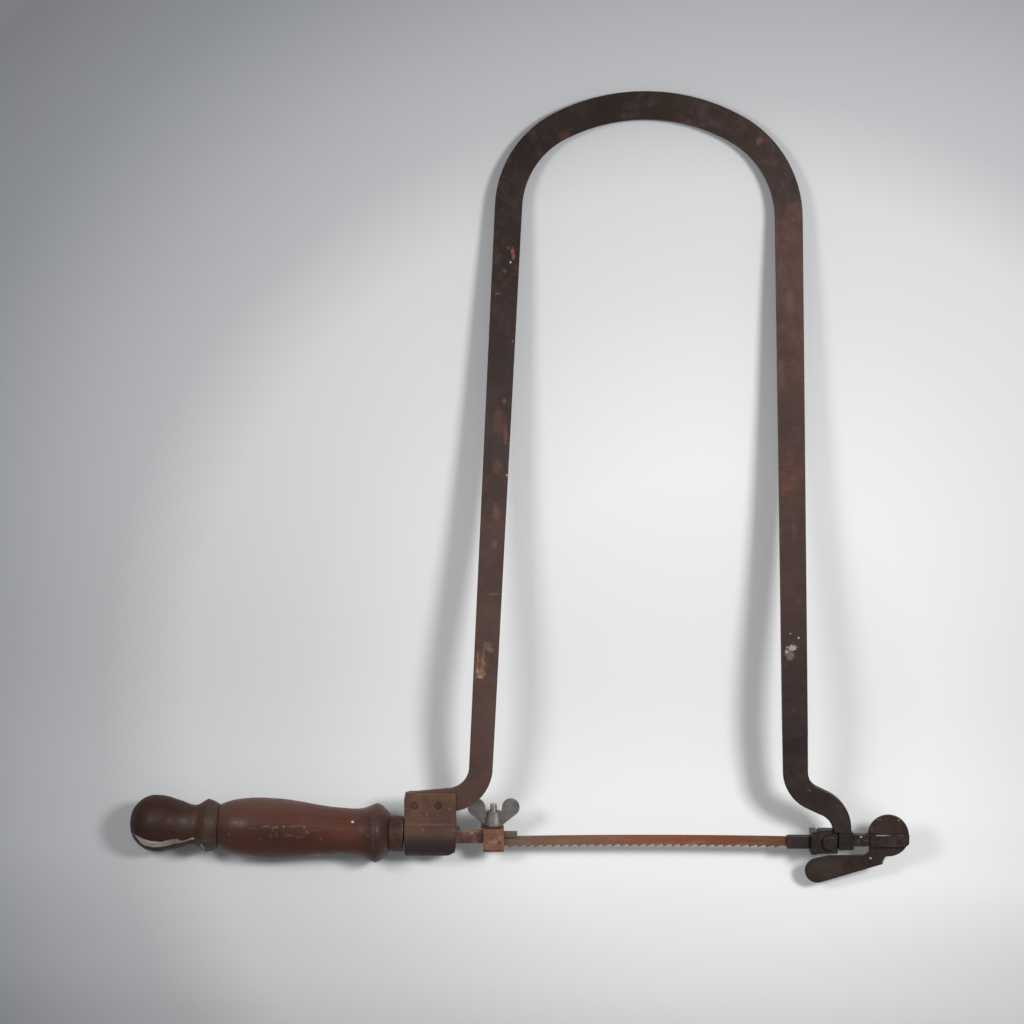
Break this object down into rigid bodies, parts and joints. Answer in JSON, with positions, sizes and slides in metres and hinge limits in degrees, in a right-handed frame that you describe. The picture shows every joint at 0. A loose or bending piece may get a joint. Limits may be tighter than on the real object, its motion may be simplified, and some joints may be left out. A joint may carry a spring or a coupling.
{
  "type": "fret saw",
  "caption": "Deep-throat fret saw: tall flat-iron bow, turned wooden handle, saddle and wing nut rear clamp, sliding front jaw bar with a cam lever, thin toothed blade",
  "frame": {"origin": "midway along the blade between its two clamps, on the blade's mid-plane", "axes": "+X along the blade from the handle to the front jaw, +Y up the throat to the crown of the bow, +Z square to the bow"},
  "size_m": [0.3267, 0.3287, 0.0252],
  "materials": {
    "patina_iron": "wrought iron with a smooth, dark brown old patina",
    "rusty_steel": "mild steel, brown with light surface rust",
    "zinc_steel": "dull grey zinc-coated steel",
    "blade_steel": "thin tempered steel with a tan rust bloom",
    "stained_wood": "turned hardwood, worn reddish brown varnish"
  },
  "bodies": {
    "frame": {"frame_bow": "patina_iron", "frame_toe": "patina_iron", "guide_sleeve": "patina_iron", "handle_bracket": "rusty_steel", "bracket_rivets": "rusty_steel", "barrel_bush": "patina_iron", "rear_bar": "rusty_steel", "bar_key": "zinc_steel", "clamp_stud": "zinc_steel", "blade": "blade_steel", "handle_ferrule": "patina_iron", "handle_grip": "stained_wood", "grip_brad": "zinc_steel"},
    "saddle": {"blade_saddle": "rusty_steel", "square_washer": "rusty_steel"},
    "wing": {"wing_nut": "zinc_steel"},
    "knob": {"end_knob": "stained_wood", "knob_nut": "zinc_steel"},
    "jaw_bar": {"drawbar": "patina_iron", "jaw_collar": "patina_iron", "clamp_bolt": "patina_iron", "cam_rivet": "patina_iron"},
    "jaw_nut": {"clamp_nut": "patina_iron"},
    "lever": {"cam_lever": "patina_iron"}
  },
  "joints": [
    {"name": "saddle_press", "type": "slide", "parent": "frame", "child": "saddle", "axis": [0, -1, 0], "range_m": [0, 0.00021166]},
    {"name": "wing_nut_turn", "type": "hinge", "parent": "saddle", "child": "wing", "pos_m": [-0.0638, 0.007, 0], "axis": [0, -1, 0], "range_deg": [0, 120]},
    {"name": "end_knob_turn", "type": "hinge", "parent": "frame", "child": "knob", "pos_m": [-0.17906, 0.00657, 0], "axis": [-0.999, 0.0454, 0], "continuous": true},
    {"name": "jaw_bar_slide", "type": "slide", "parent": "frame", "child": "jaw_bar", "axis": [1, 0, 0], "range_m": [-0.005, 0]},
    {"name": "jaw_nut_turn", "type": "hinge", "parent": "jaw_bar", "child": "jaw_nut", "pos_m": [0.077, 0, -0.0035], "axis": [0, 0, 1], "range_deg": [0, 180]},
    {"name": "cam_lever_swing", "type": "hinge", "parent": "jaw_bar", "child": "lever", "pos_m": [0.1062, 0, 0], "axis": [0, 0, 1], "range_deg": [0, 165]}
  ],
  "couplings": [
    {"joint": "wing_nut_turn", "follows": "saddle_press", "rad_per_m": 9894.8}
  ]
}
